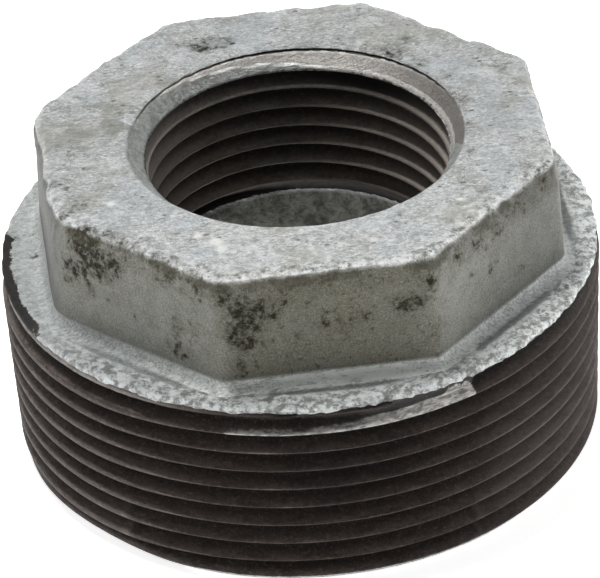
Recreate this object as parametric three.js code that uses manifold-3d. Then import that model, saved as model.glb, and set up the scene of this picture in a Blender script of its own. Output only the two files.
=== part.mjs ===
// Reducing bushing for threaded pipe: one zinc-coated iron casting with an
// octagonal wrench head, a tapered male thread outside (the large size) and a
// tapered female thread in the bore (the small size).
// Millimetres, +Z up.  The origin is the centre of the male end face; the head
// is on top.  Four of the wrench flats are square to the X and Y axes.
import * as THREE from 'three';
import { mergeVertices } from 'three/addons/utils/BufferGeometryUtils.js';
import Module from 'manifold-3d';

const wasm = await Module();
wasm.setup();

// -------------------------------------------------------- shared dimensions
const OVERALL_H = 33.5;            // male end face to head face
const SHOULDER_Z = 21.1;           // floor of the shoulder, under the head

// both threads: 11.5 per inch, 60 degree form, 1 in 16 taper, right hand
const PITCH = 25.4 / 11.5;
const TAPER_R = 1 / 32;            // radius gained per mm of height
const FLAT_W = 0.16;               // width of the crest and root flats
const THREAD_DEPTH = (PITCH / 2 - FLAT_W) * Math.sqrt(3);

// ------------------------------------------------------------ solid builders
const MERGE_TOLERANCE = 1e-4;

// merging also drops the vertices no face uses
function toSolid(geometry) {
  const merged = mergeVertices(geometry, MERGE_TOLERANCE);
  return new wasm.Manifold(new wasm.Mesh({
    numProp: 3,
    vertProperties: new Float32Array(merged.attributes.position.array),
    triVerts: new Uint32Array(merged.index.array),
  }));
}

function solidFromLists(positions, indices) {
  const geometry = new THREE.BufferGeometry();
  geometry.setAttribute('position', new THREE.Float32BufferAttribute(positions, 3));
  geometry.setIndex(indices);
  return toSolid(geometry);
}

function addQuad(indices, a, b, c, d) {
  indices.push(a, b, c, a, c, d);
}

// closes a counter-clockwise loop of vertices with a fan to a point on the axis
function addFan(positions, indices, loop, apexZ, facesUp) {
  const apex = positions.length / 3;
  positions.push(0, 0, apexZ);
  loop.forEach((vertex, n) => {
    const next = loop[(n + 1) % loop.length];
    if (facesUp) indices.push(apex, vertex, next);
    else indices.push(apex, next, vertex);
  });
}

// a solid of revolution; the profile holds [radius, z] points and runs upward
// from the axis to the axis, which turns the faces outward
function revolved(profile, segments) {
  const lathe = new THREE.LatheGeometry(
    profile.map(([radius, z]) => new THREE.Vector2(radius, z)),
    segments,
  );
  lathe.rotateX(Math.PI / 2);
  lathe.rotateZ(-Math.PI / 2);     // first column on the -X axis
  lathe.deleteAttribute('normal');
  lathe.deleteAttribute('uv');
  const merged = mergeVertices(lathe, MERGE_TOLERANCE);

  // leave out the triangles that collapse on the axis
  const corners = merged.index.array;
  const kept = [];
  for (let t = 0; t < corners.length; t += 3) {
    const [a, b, c] = corners.slice(t, t + 3);
    if (a !== b && b !== c && a !== c) kept.push(a, b, c);
  }
  merged.setIndex(kept);
  return toSolid(merged);
}

// a solid bounded by a right-hand helical thread, longer than zLo to zHi at
// both ends.  crestR(z) is the radius of the outer edge; anchor is a height
// where the outer edge crosses anchorAngle.
function helicalSolid({ crestR, anchor, anchorAngle, zLo, zHi, segments }) {
  const halfFlat = FLAT_W / 2;
  // height from the crest centre, depth below the crest
  const stations = [
    [-halfFlat, 0], [halfFlat, 0],                                      // crest flat
    [PITCH / 2 - halfFlat, THREAD_DEPTH], [PITCH / 2 + halfFlat, THREAD_DEPTH], // root flat
  ];
  const count = stations.length;
  const crestAtZero = anchor - PITCH * anchorAngle / (2 * Math.PI);     // crest at angle 0
  const start = crestAtZero + (Math.floor((zLo - crestAtZero) / PITCH) - 1) * PITCH;
  const turns = Math.ceil((zHi - start) / PITCH) + 1;
  const lastColumn = segments * turns;

  const positions = [];
  for (let i = 0; i <= lastColumn + segments; i++) {
    const angle = (2 * Math.PI * i) / segments;
    for (const [rise, depth] of stations) {
      const z = start + (PITCH * i) / segments + rise;
      const radius = crestR(z) - depth;
      positions.push(radius * Math.cos(angle), radius * Math.sin(angle), z);
    }
  }

  // the station after the last is the first station one turn on
  const vertexAt = (i, j) => (j < count ? i * count + j : (i + segments) * count);
  const indices = [];
  for (let i = 0; i < lastColumn; i++) {
    for (let j = 0; j < count; j++) {
      addQuad(indices,
        vertexAt(i, j), vertexAt(i + 1, j), vertexAt(i + 1, j + 1), vertexAt(i, j + 1));
    }
  }

  // one turn along the crest, then down the thread form to its start
  const endLoop = (column) => {
    const loop = [];
    for (let i = column; i <= column + segments; i++) loop.push(vertexAt(i, 0));
    for (let j = count - 1; j >= 1; j--) loop.push(vertexAt(column, j));
    return loop;
  };
  addFan(positions, indices, endLoop(0), start - 2 * PITCH, false);
  addFan(positions, indices, endLoop(lastColumn), start + (turns + 3) * PITCH, true);
  return solidFromLists(positions, indices);
}

// a solid through level rings of [x, y, z] points, lowest first
function stackedRings(rings) {
  const count = rings[0].length;
  const positions = rings.flat(2);
  const indices = [];
  for (let r = 0; r < rings.length - 1; r++) {
    for (let i = 0; i < count; i++) {
      const a = r * count + i;
      const b = r * count + ((i + 1) % count);
      addQuad(indices, a, b, b + count, a + count);
    }
  }
  const ringLoop = (r) => rings[r].map((_, i) => r * count + i);
  const top = rings.length - 1;
  addFan(positions, indices, ringLoop(0), rings[0][0][2], false);
  addFan(positions, indices, ringLoop(top), rings[top][0][2], true);
  return solidFromLists(positions, indices);
}

// --------------------------------------------------------------------- head
const HEAD_AF_BASE = 51.1;         // across flats where the flats start
const HEAD_AF_TOP = 50.5;          // across flats at the top edge (casting draft)
const HEAD_Z_BASE = 22.6;          // nominal start of the flats, above the fillet
const HEAD_CORNER_R = 2.2;         // upright corner rounding
const HEAD_CORNER_SEG = 4;
const HEAD_TOP_R = 0.85;           // rounding of the top edge
const HEAD_TOP_SEG = 4;
const HEAD_FILLET = 0.9;           // width of the fillet from flats to shoulder
const HEAD_FILLET_SEG = 3;
const FILLET_FOOT_Z = SHOULDER_Z + 0.02;   // just clear of the shoulder floor
const FILLET_H = 0.98 * (HEAD_Z_BASE - SHOULDER_Z);
const HEAD_BURIED = 2;             // the head reaches this far into the shank

// one level of the head: an octagon with rounded corners
function octagonRing(acrossFlats, cornerR, z) {
  const eighth = Math.PI / 4;
  const centreR = (acrossFlats / 2 - cornerR) / Math.cos(eighth / 2);
  const points = [];
  for (let k = 0; k < 8; k++) {
    const middle = (k + 0.5) * eighth;
    for (let s = 0; s <= HEAD_CORNER_SEG; s++) {
      const angle = (k + s / HEAD_CORNER_SEG) * eighth;
      points.push([
        centreR * Math.cos(middle) + cornerR * Math.cos(angle),
        centreR * Math.sin(middle) + cornerR * Math.sin(angle),
        z,
      ]);
    }
  }
  return points;
}

// fillet up from the shoulder, drafted flats, rounded top edge
function makeHead() {
  const baseRing = (outset, z) => (
    octagonRing(HEAD_AF_BASE + 2 * outset, HEAD_CORNER_R + outset, z)
  );
  const rings = [baseRing(HEAD_FILLET, SHOULDER_Z - HEAD_BURIED)];
  for (let s = 0; s <= HEAD_FILLET_SEG; s++) {
    const angle = (s / HEAD_FILLET_SEG) * Math.PI / 2;
    rings.push(baseRing(
      HEAD_FILLET * (1 - Math.sin(angle)),
      FILLET_FOOT_Z + FILLET_H * (1 - Math.cos(angle)),
    ));
  }
  for (let s = 0; s <= HEAD_TOP_SEG; s++) {
    const angle = (s / HEAD_TOP_SEG) * Math.PI / 2;
    const inset = HEAD_TOP_R * (1 - Math.cos(angle));
    const z = OVERALL_H - HEAD_TOP_R + HEAD_TOP_R * Math.sin(angle);
    rings.push(octagonRing(HEAD_AF_TOP - 2 * inset, HEAD_CORNER_R, z));
  }
  return stackedRings(rings);
}

// ------------------------------------------------- male thread and shoulder
const MALE_SEG = 60;
const MALE_CREST_R0 = 29.69;       // crest radius at the end face
const MALE_PHASE = 2.918;          // height of a crest at the -Y side
const MALE_TOP_Z = 20.7;
const MALE_CUT_Z = MALE_TOP_Z - 0.1;   // the thread stops here, at the shoulder
const END_CHAMFER = 0.8;
const MALE_CLEARANCE = 0.3;        // envelope outside the crests
const SHOULDER_RIM_Z = 21.35;      // raised rim
const SHOULDER_R = 30.2;
const SHOULDER_BURIED_Z = MALE_TOP_Z - 1.2;   // underside, inside the shank

const maleCrest = (z) => MALE_CREST_R0 + TAPER_R * z;

function makeShank() {
  const thread = helicalSolid({
    crestR: maleCrest,
    anchor: MALE_PHASE,
    anchorAngle: -Math.PI / 2,
    zLo: -1,
    zHi: MALE_TOP_Z + 2,
    segments: MALE_SEG,
  });
  // end face and chamfer; elsewhere it clears the crests
  const envelopeTop = SHOULDER_RIM_Z + 0.9;
  const envelope = revolved([
    [0, 0],
    [maleCrest(0) - END_CHAMFER, 0],
    [maleCrest(0) + MALE_CLEARANCE, END_CHAMFER + MALE_CLEARANCE],
    [maleCrest(MALE_TOP_Z) + MALE_CLEARANCE, MALE_TOP_Z],
    [SHOULDER_R - 1, envelopeTop],
    [0, envelopeTop],
  ], MALE_SEG);
  // wider than the shank, so only its flat top cuts
  const below = revolved([[0, -1], [40, -1], [40, MALE_CUT_Z], [0, MALE_CUT_Z]], 8);
  return thread.intersect(envelope).intersect(below);
}

// disc with a raised rim around the foot of the head
function makeShoulder() {
  return revolved([
    [0, SHOULDER_BURIED_Z],
    [SHOULDER_R - 1.6, SHOULDER_BURIED_Z],
    [SHOULDER_R, MALE_CUT_Z],
    [SHOULDER_R - 0.1, SHOULDER_Z + 0.08],
    [SHOULDER_R - 0.6, SHOULDER_RIM_Z],
    [SHOULDER_R - 1.8, SHOULDER_RIM_Z - 0.03],
    [SHOULDER_R - 3.2, SHOULDER_Z],
    [0, SHOULDER_Z],
  ], MALE_SEG);
}

// --------------------------------------------------------------------- bore
const BORE_SEG = 44;
const BORE_MINOR_R = 15.16;        // crest radius at the top of the thread
const BORE_THREAD_TOP = 31.3;
const BORE_THREAD_END = 17.5;      // the thread has run out here
const BORE_PHASE = 18.60;          // height of a crest at the +Y side
const MOUTH_R = 15.95;             // edge of the lead-in
const MOUTH_Z = 32.7;
const MOUTH_LIP_R = 16.9;          // lip at the head face
const OVERSHOOT = 2;               // cutter length beyond both end faces
const BORE_INSET = 0.2;            // keeps the bore inside the thread's surface

// cored cavity under the threaded bore
const CAST_WALL_R = 14.70;
const CAST_WALL_Z = 12.0;
const CAVITY_TOP_R = 21.2;
const CAVITY_TOP_Z = 7.6;
const CAVITY_MOUTH_R = 24.2;

const boreMinor = (z) => BORE_MINOR_R - TAPER_R * (BORE_THREAD_TOP - z);
const boreMajor = (z) => boreMinor(z) + THREAD_DEPTH;

// cutter: cavity, cast wall, minor cone of the thread, lead-in, lip
function makeBore() {
  return revolved([
    [0, -OVERSHOOT],
    [CAVITY_MOUTH_R + 0.3, -OVERSHOOT],
    [CAVITY_MOUTH_R, 0],
    [CAVITY_TOP_R + 1.2, CAVITY_TOP_Z - 1.6],
    [CAVITY_TOP_R, CAVITY_TOP_Z - 0.2],
    [CAVITY_TOP_R - 1.6, CAVITY_TOP_Z + 0.7],
    [CAST_WALL_R + 1.2, CAST_WALL_Z - 1.0],
    [CAST_WALL_R, CAST_WALL_Z + 0.8],
    [boreMinor(BORE_THREAD_END), BORE_THREAD_END],
    [boreMinor(BORE_THREAD_END) - BORE_INSET, BORE_THREAD_END + 0.5],
    [BORE_MINOR_R - BORE_INSET, BORE_THREAD_TOP - 0.5],
    [BORE_MINOR_R + 0.02, BORE_THREAD_TOP],
    [MOUTH_R, MOUTH_Z],
    [MOUTH_LIP_R, OVERALL_H],
    [MOUTH_LIP_R + 0.8, OVERALL_H + OVERSHOOT],
    [0, OVERALL_H + OVERSHOOT],
  ], BORE_SEG);
}

// cutter: its outer edges are the thread roots, half a pitch from the crests
function makeBoreThread() {
  const thread = helicalSolid({
    crestR: boreMajor,
    anchor: BORE_PHASE + PITCH / 2,
    anchorAngle: Math.PI / 2,
    zLo: BORE_THREAD_END - 1,
    zHi: MOUTH_Z + 1,
    segments: BORE_SEG,
  });
  // narrows at both ends so that the thread runs out
  const clearance = 0.2;
  const envelopeTop = BORE_THREAD_TOP + 1.4;
  const envelope = revolved([
    [0, BORE_THREAD_END],
    [boreMinor(BORE_THREAD_END) - 0.1, BORE_THREAD_END],
    [boreMajor(BORE_THREAD_END) + clearance, BORE_THREAD_END + 2.4],
    [boreMajor(MOUTH_Z) + clearance, BORE_THREAD_TOP - 0.4],
    [boreMinor(MOUTH_Z) + 0.1, envelopeTop],
    [0, envelopeTop],
  ], BORE_SEG);
  return thread.intersect(envelope);
}

// ----------------------------------------------------------------- assembly
function makeBody() {
  return makeShank()
    .add(makeShoulder())
    .add(makeHead())
    .subtract(makeBore())
    .subtract(makeBoreThread());
}

function makeZincMaterial() {
  return new THREE.MeshStandardMaterial({ color: 0x8f9391, roughness: 0.62, metalness: 0.75 });
}

function toMesh(solid, name, material) {
  const { vertProperties, triVerts } = solid.getMesh();
  const geometry = new THREE.BufferGeometry();
  geometry.setAttribute('position', new THREE.Float32BufferAttribute(vertProperties, 3));
  geometry.setIndex(new THREE.Uint32BufferAttribute(triVerts, 1));
  geometry.computeVertexNormals();
  const mesh = new THREE.Mesh(geometry, material);
  mesh.name = name;
  return mesh;
}

const group = new THREE.Group();
group.name = 'reducing_bushing';
group.add(toMesh(makeBody(), 'bushing_body', makeZincMaterial()));

export default group;
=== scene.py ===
"""Cast pipe bushing with a zinc coat and bare threads, standing on its open end.

The axis is +Z and the base sits on the floor. An octagonal head with a round
shoulder is on top, a taper thread runs round the outside below it, and a second
thread runs down the bore. The front is -Y, left is -X and right is +X. The casting
is built in millimetres and scaled to metres. Azimuths are degrees from +X.
"""
import bpy
import math
import numpy as np
from collections import namedtuple
from mathutils import Matrix, Vector


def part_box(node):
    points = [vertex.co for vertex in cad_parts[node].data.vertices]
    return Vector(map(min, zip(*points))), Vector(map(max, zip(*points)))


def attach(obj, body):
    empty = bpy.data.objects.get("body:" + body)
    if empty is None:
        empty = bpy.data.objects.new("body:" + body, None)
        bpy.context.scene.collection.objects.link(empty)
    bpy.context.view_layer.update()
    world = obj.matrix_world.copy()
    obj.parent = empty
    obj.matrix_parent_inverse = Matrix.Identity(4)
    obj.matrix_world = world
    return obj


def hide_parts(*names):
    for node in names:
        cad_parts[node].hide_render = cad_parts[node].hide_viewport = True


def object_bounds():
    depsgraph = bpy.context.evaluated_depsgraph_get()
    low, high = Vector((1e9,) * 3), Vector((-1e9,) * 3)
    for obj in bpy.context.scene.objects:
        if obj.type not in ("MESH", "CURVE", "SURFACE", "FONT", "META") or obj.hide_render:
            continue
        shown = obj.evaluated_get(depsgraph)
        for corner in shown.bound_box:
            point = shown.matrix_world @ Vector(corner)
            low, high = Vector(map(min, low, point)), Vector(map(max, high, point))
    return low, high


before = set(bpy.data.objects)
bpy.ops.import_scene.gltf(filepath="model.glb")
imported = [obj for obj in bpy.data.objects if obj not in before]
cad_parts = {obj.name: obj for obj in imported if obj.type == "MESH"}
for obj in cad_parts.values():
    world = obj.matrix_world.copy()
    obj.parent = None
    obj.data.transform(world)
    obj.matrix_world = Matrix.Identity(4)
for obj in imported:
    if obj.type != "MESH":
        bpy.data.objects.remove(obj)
cad_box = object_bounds()

# ---------------------------------------------------------------- sizes (mm)
MM = 0.001
body_low, body_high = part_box("bushing_body")
TOP_Z = (body_high[2] - body_low[2]) / MM
BASE_Z = body_low[2] / MM

PITCH = 25.4 / 11.5
TAPER = 1.0 / 32.0              # change of radius per unit of height
THREAD_DEPTH = 1.64
ROOT_HALF_WIDTH = 0.06
MALE_RADIUS = 29.69             # crest radius at z = 0
MALE_CREST_Z = 2.918            # a crest at azimuth -90
FEMALE_RADIUS = 15.15           # crest radius at the mouth
FEMALE_TOP = 31.40
FEMALE_END = 17.5
FEMALE_CREST_Z = 18.600         # a crest at azimuth +90
TORN_CREST_Z = 18.38            # the torn outer crest at azimuth -90
END_CHAMFER_Z = BASE_Z + 0.45

HALF_FLATS = 25.55              # axis to flat, low
HALF_FLATS_TOP = 25.27
FLAT_LOW_Z = 22.60
FLAT_HIGH_Z = 30.8
HEAD_HALF_FLATS = 24.0          # the flat top face
FILLET = 1.0
RIM_Z = 21.33
RIM_RADIUS = 30.10
RIM_INNER = RIM_RADIUS - 0.55
ZINC_EDGE_Z = 20.62
THREAD_TOP_Z = ZINC_EDGE_Z - 0.10
CAVITY_MOUTH = 24.3

AXIS = np.zeros(2)
BORE_AXIS = np.array([0.545, 0.045])    # the tapped hole sits a little off centre


# --------------------------------------------------------------------- noise
class Noise:
    """Seeded gradient noise on numpy arrays."""

    def __init__(self, seed):
        rng = np.random.RandomState(seed)
        self.table = np.concatenate([rng.permutation(256)] * 3).astype(np.int64)
        slopes = rng.normal(size=(256, 3))
        self.slopes = slopes / np.linalg.norm(slopes, axis=1)[:, None]

    def __call__(self, points):
        points = np.asarray(points, float)
        cell = np.floor(points).astype(np.int64)
        inside = points - cell
        cell &= 255
        ease = inside * inside * inside * (inside * (inside * 6 - 15) + 10)
        total = 0.0
        for corner in np.ndindex(2, 2, 2):
            key = 0
            for axis in range(3):
                key = self.table[key + cell[..., axis] + corner[axis]]
            dot = (self.slopes[key] * (inside - np.array(corner))).sum(-1)
            weight = 1.0
            for axis in range(3):
                share = ease[..., axis]
                weight = weight * (share if corner[axis] else 1 - share)
            total = total + weight * dot
        return total * 1.6

    def fbm(self, points, octaves):
        total, amount = 0.0, 1.0
        for octave in range(octaves):
            total = total + amount * self(points + 17.3 * octave)
            points = points * 2.03
            amount *= 0.5
        return total


noise_a, noise_b, noise_c, noise_d = (Noise(seed) for seed in (11, 23, 37, 51))


# ----------------------------------------------------------- angles and easing
def smooth(start, end, x):
    ratio = np.clip((np.asarray(x, float) - start) / (end - start), 0, 1)
    return ratio * ratio * (3 - 2 * ratio)


def wrap(degrees):
    return (np.asarray(degrees) + 180.0) % 360.0 - 180.0


def about_front(degrees):
    """Azimuth from -270 to 90, so that the front half has no break."""
    return wrap(degrees + 90.0) - 90.0


def hump(angle, centre, width, power=2):
    return np.exp(-np.abs(wrap(angle - centre) / width) ** power)


def facet_angle(azimuth):
    """Degrees away from the middle of the nearest flat."""
    return np.abs((azimuth + 22.5) % 45.0 - 22.5)


def fractions(count):
    """Even steps from 1 / count to 1."""
    return np.linspace(0, 1, count + 1)[1:]


def circle_points(angle, radius, height):
    """Places to sample noise round a circle; angle in radians."""
    return np.stack([np.cos(angle) * radius, np.sin(angle) * radius, height + 0 * angle], -1)


# Mesh columns run round the axis, closer together where the thread shows most
HALF_CORNER = 1.9
CORNER_COLUMNS = 6
FLAT_COLUMNS = (38, 32, 34, 34, 46, 54, 58, 52)     # per flat, starting at +X
columns = []
for k, count in enumerate(FLAT_COLUMNS):
    middle = 45.0 * k
    columns += list(middle - 22.5 + HALF_CORNER
                    + (45.0 - 2 * HALF_CORNER) * np.arange(count) / count)
    columns += list(middle + 22.5 - HALF_CORNER
                    + 2 * HALF_CORNER * np.arange(CORNER_COLUMNS) / CORNER_COLUMNS)
theta = np.sort(np.mod(np.radians(np.array(columns)), 2 * np.pi))
NCOL = len(theta)
deg = np.degrees(theta)
COS, SIN = np.cos(theta), np.sin(theta)
FACET = facet_angle(deg)

# Corner rounding of the head: azimuth, radius added to the basic 1 mm
CORNER_WEAR = ((157.5, 3.6), (-157.5, 3.4), (-112.5, 0.9), (-22.5, 1.2),
               (22.5, 1.6), (67.5, 1.8), (112.5, 3.6))
CORNER_RADIUS = 1.0 + sum(extra * hump(deg, azimuth, 9.0) for azimuth, extra in CORNER_WEAR)


def octagon(half_flats, corner):
    """Radius of a rounded octagon at every column."""
    facet = np.radians(FACET)
    straight = half_flats / np.cos(facet)
    centre = (half_flats - corner) / math.cos(math.pi / 8)
    from_corner = math.pi / 8 - facet
    reach = np.maximum(corner ** 2 - (centre * np.sin(from_corner)) ** 2, 0)
    arc = centre * np.cos(from_corner) + np.sqrt(reach)
    on_flat = half_flats * np.tan(facet) <= (half_flats - corner) * math.tan(math.pi / 8)
    return np.where(on_flat, straight, arc)


# -------------------------------------------------------------------- threads
# heights, radii and depths (0 crest, 1 root) are arrays of (rows, columns)
Thread = namedtuple("Thread", "heights radii depths per_turn")

# Rows of one turn: part of the profile and place in that part
OUTER_ROWS = (("crest", -1), ("crest", 1), ("down", 0.13), ("down", 0.55), ("down", 0.9),
              ("root", 1), ("up", 0.2), ("up", 0.88))
INNER_ROWS = (("crest", -1), ("crest", 1), ("down", 0.13), ("down", 0.6),
              ("root", -1), ("root", 1), ("up", 0.86))

# Smear over the groove above the last full outer crest: azimuth, amount
TEAR = ((-114, 0.0), (-110, 0.10), (-101, 0.14), (-97, 0.08), (-92, 0.20), (-88, 0.34),
        (-82, 0.55), (-74, 0.85), (-66, 0.95), (-63.5, 0.70), (-62.5, 0.0))


def tear_amount(azimuth):
    amount = np.interp(about_front(azimuth), *zip(*TEAR))
    ragged = noise_b.fbm(circle_points(np.radians(azimuth), 13, 3.1), 3)
    return np.clip(amount * (1.0 + 0.40 * ragged), 0, 1.1)


def male_lands(crest_z):
    """Crest half widths below and above, openness of the groove, width cut off."""
    lower = 0.055 + 0.010 * noise_a(circle_points(theta, 5, crest_z * 0.4))
    upper = lower
    # the last full turn is torn and smeared on the right of the front
    tear = tear_amount(deg) * smooth(17.9, 18.2, crest_z) * smooth(19.4, 19.0, crest_z)
    ragged = 0.5 + 0.5 * noise_d(circle_points(theta, 11, 1.7))
    upper = upper + tear * 0.62
    lower = lower + tear * (0.02 + 0.16 * ragged)
    openness = 1.0 - 0.78 * np.clip(tear * 1.5, 0, 1)
    # the last crest is a flat land on the left
    last = smooth(19.3, 19.9, crest_z) * smooth(-92, -140, about_front(deg))
    lower = lower + 0.26 * last
    upper = upper + 0.16 * last
    cut = np.clip(lower, 0.05, 0.4)
    # broad worn lands on the left
    worn = hump(deg, -152.0, 27.0, power=4) * smooth(19.3, 18.6, crest_z)
    lower = np.clip(lower + 0.30 * worn, 0.05, 0.6)
    upper = np.clip(upper + 0.26 * worn, 0.05, 0.92)
    return lower, upper, openness, cut


def female_lands(crest_z):
    width = 0.055 + 0.010 * noise_c(circle_points(theta, 5, crest_z * 0.4))
    return width, width, 1.0, width


def male_depth(crest_z):
    """The outer thread fades towards the shoulder and is shallow on the left."""
    left = hump(deg, -168.0, 20.0, power=4)
    return (1.0 - 0.30 * smooth(18.4, 21.2, crest_z)) * (1.0 - 0.30 * left)


def helix_rows(z_low, z_high, crest_radius, crest_z, crest_azimuth, lands, rows, external):
    """Rows of points along a right-hand helix, a turn or so beyond both heights."""
    base = crest_z - PITCH * crest_azimuth / 360.0
    first = int(math.floor((z_low - base) / PITCH)) - 1
    last = int(math.ceil((z_high - base) / PITCH)) + 1
    heights, radii, depths = [], [], []
    for turn in range(first, last):
        crest = base + PITCH * turn + PITCH * theta / (2 * np.pi)
        lower, upper, openness, this_cut = lands(crest)
        next_lower, _, _, next_cut = lands(crest + PITCH)
        for part, place in rows:
            width_cut = this_cut
            if part == "crest":
                offset = place * (lower if place < 0 else upper)
                depth = 0.0
            elif part == "down":           # from a crest to the root above it
                offset = upper + (PITCH / 2 - upper - ROOT_HALF_WIDTH) * place
                depth = place
            elif part == "root":
                offset = PITCH / 2 + place * ROOT_HALF_WIDTH
                depth = 1.0
            else:                          # from the root up to the next crest
                width_cut = next_cut
                run = PITCH / 2 - next_lower - ROOT_HALF_WIDTH
                offset = PITCH / 2 + ROOT_HALF_WIDTH + run * place
                depth = 1 - place
            height = crest + offset
            cut = np.maximum(width_cut - 0.07, 0) * math.sqrt(3)
            if external:
                groove = depth * THREAD_DEPTH * male_depth(crest) * openness
                radius = crest_radius(height) - cut * (1 - depth) - groove
            else:
                radius = crest_radius(height) + cut * (1 - depth) + depth * THREAD_DEPTH
            heights.append(height)
            radii.append(radius)
            depths.append(np.full(NCOL, float(depth)))
    return Thread(np.array(heights), np.array(radii), np.array(depths), len(rows))


def radius_at(thread, height):
    return np.array([np.interp(height, thread.heights[:, i], thread.radii[:, i])
                     for i in range(NCOL)])


outer = helix_rows(BASE_Z + 0.3, ZINC_EDGE_Z, lambda z: MALE_RADIUS + TAPER * z,
                   MALE_CREST_Z, -90.0, male_lands, OUTER_ROWS, external=True)
# the end of the outer thread is chamfered, more so at the left
end_radius = 28.95 - 0.40 * hump(deg, -140.0, 14.0)
end_cone = end_radius + 0.78 * np.maximum(outer.heights, 0)
outer = outer._replace(radii=np.minimum(outer.radii, end_cone))

inner = helix_rows(FEMALE_END, FEMALE_TOP, lambda z: FEMALE_RADIUS - TAPER * (FEMALE_TOP - z),
                   FEMALE_CREST_Z, 90.0, female_lands, INNER_ROWS, external=False)
# the inner thread starts from the plain bore wall
fade = smooth(FEMALE_END, FEMALE_END + 0.35, inner.heights)
inner = inner._replace(radii=14.73 + (inner.radii - 14.73) * fade)


# --------------------------------------------------------------- casting skin
ZONES = ("bore", "female", "chamfer", "lip", "top", "edge", "flat", "fillet",
         "shoulder", "rim", "male", "end", "cavity")
SNAP = 0.04         # helix points this close to a boundary ring join it


class Skin:
    """One closed surface made of rings; zones and depths are kept per vertex."""

    def __init__(self):
        self.points, self.zones, self.depths, self.faces = [], [], [], []
        self.last = None

    def ring(self, radius, height, zone, depth=0.0, centre=AXIS):
        start = len(self.points)
        ones = np.ones(NCOL)
        ring = [radius * COS + centre[0], radius * SIN + centre[1], height * ones]
        self.points.extend(np.stack(ring, -1).tolist())
        self.zones.extend([ZONES.index(zone)] * NCOL)
        self.depths.extend([depth] * NCOL)
        return np.arange(start, start + NCOL)

    def loft(self, *ring, **options):
        """Add a ring and join it to the last one."""
        new = self.ring(*ring, **options)
        if self.last is not None:
            self.bridge(new)
        self.last = new
        return new

    def bridge(self, new):
        old = self.last
        for i in range(NCOL):
            j = (i + 1) % NCOL
            self.face([old[i], new[i], new[j], old[j]])

    def face(self, corners):
        """Add a face, leaving out repeated corners and collapsed faces."""
        kept = list(dict.fromkeys(int(corner) for corner in corners))
        if len(kept) >= 3:
            self.faces.append(kept)

    def helix(self, thread, low_ring, z_low, high_ring, z_high, zone, flip=False, centre=AXIS):
        """Fill between two flat rings with rows that follow the thread."""
        rows = len(thread.heights)
        index = np.empty((rows, NCOL), int)
        for i in range(NCOL):
            for k in range(rows):
                height = thread.heights[k, i]
                if height <= z_low + SNAP:
                    index[k, i] = low_ring[i]
                elif height >= z_high - SNAP:
                    index[k, i] = high_ring[i]
                else:
                    index[k, i] = len(self.points)
                    radius = thread.radii[k, i]
                    self.points.append([radius * COS[i] + centre[0],
                                        radius * SIN[i] + centre[1], height])
                    self.zones.append(ZONES.index(zone))
                    self.depths.append(float(thread.depths[k, i]))
        for k in range(rows - 1):
            for i in range(NCOL):
                above = k + thread.per_turn     # the seam joins one turn further up
                if i + 1 < NCOL:
                    near, far = index[k, i + 1], index[k + 1, i + 1]
                elif above + 1 >= rows:
                    near = far = high_ring[0]
                else:
                    near, far = index[above, 0], index[above + 1, 0]
                quad = [index[k, i], near, far, index[k + 1, i]]
                self.face(quad[::-1] if flip else quad)


skin = Skin()


def bore():
    """Plain wall and inner thread, going up; returns the lowest ring."""
    first = skin.loft(14.72, 12.1, "bore", centre=BORE_AXIS * 0.9)
    for z, radius in ((13.2, 14.69), (14.2, 14.68), (15.2, 14.69), (16.2, 14.70), (17.0, 14.72)):
        skin.loft(radius, z, "bore", centre=BORE_AXIS)
    low = skin.loft(radius_at(inner, FEMALE_END), FEMALE_END, "female", centre=BORE_AXIS)
    mouth = 15.25 + (radius_at(inner, FEMALE_TOP) - 15.25) * 0.45
    high = skin.ring(mouth, FEMALE_TOP, "female", depth=0.2, centre=BORE_AXIS)
    skin.helix(inner, low, FEMALE_END, high, FEMALE_TOP, "female", flip=True, centre=BORE_AXIS)
    skin.last = high
    return first


# Lead-in cone: height, radius, share of the cutter's step
CONE = ((31.58, 15.36, 0), (31.8, 15.56, 0), (32.05, 15.78, 0), (32.3, 16.0, 0),
        (32.55, 16.2, 0), (32.8, 16.4, 0), (32.96, 16.53, 0), (33.03, 16.58, 0.05),
        (33.06, 16.62, 0.34), (33.14, 16.64, 0.42), (33.22, 16.68, 0.10))
# Lip above it: height, radius, share of the wear
LIP = ((33.30, 16.76, 0.25), (33.37, 16.88, 0.5), (33.42, 17.02, 0.75), (33.45, 17.25, 1.0))


def mouth():
    """Cone, step and lip; returns the radius of the lip."""
    bite = smooth(14, 32, deg) * smooth(161, 140, deg)      # where the cutter left a step
    ragged = noise_d.fbm(circle_points(theta, 16, 2), 3)
    wear_left = hump(deg, 182.0, 34.0)
    wear_right = hump(deg, -14.0, 30.0)
    for z, radius, step_share in CONE:
        radius = radius + step_share * bite * (1 + 0.5 * ragged)
        radius = radius + wear_left * 0.30 * smooth(31.9, 33.2, z)
        height = z + 0.10 * ragged * bite * smooth(32.9, 33.05, z)
        skin.loft(radius, height, "chamfer", centre=BORE_AXIS)
    for z, radius, share in LIP:
        radius = radius + wear_left * (0.30 + 0.90 * share) + 0.35 * wear_right * share
        height = z - 0.05 * wear_left * (1 - share)
        skin.loft(radius, height, "lip", centre=BORE_AXIS * (1 - 0.5 * share))
    return radius


# Profiles of the head's top edge: half across flats, height
SHARP_EDGE = ((24.25, 33.43), (24.42, 33.30), (24.55, 33.10), (24.68, 32.80),
              (24.82, 32.40), (24.98, 31.90), (25.12, 31.40), (25.26, FLAT_HIGH_Z))
SOFT_EDGE = ((24.34, 33.43), (24.66, 33.28), (24.92, 33.05), (25.10, 32.75),
             (25.20, 32.40), (25.25, 32.0), (25.26, 31.5), (25.28, FLAT_HIGH_Z))


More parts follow.
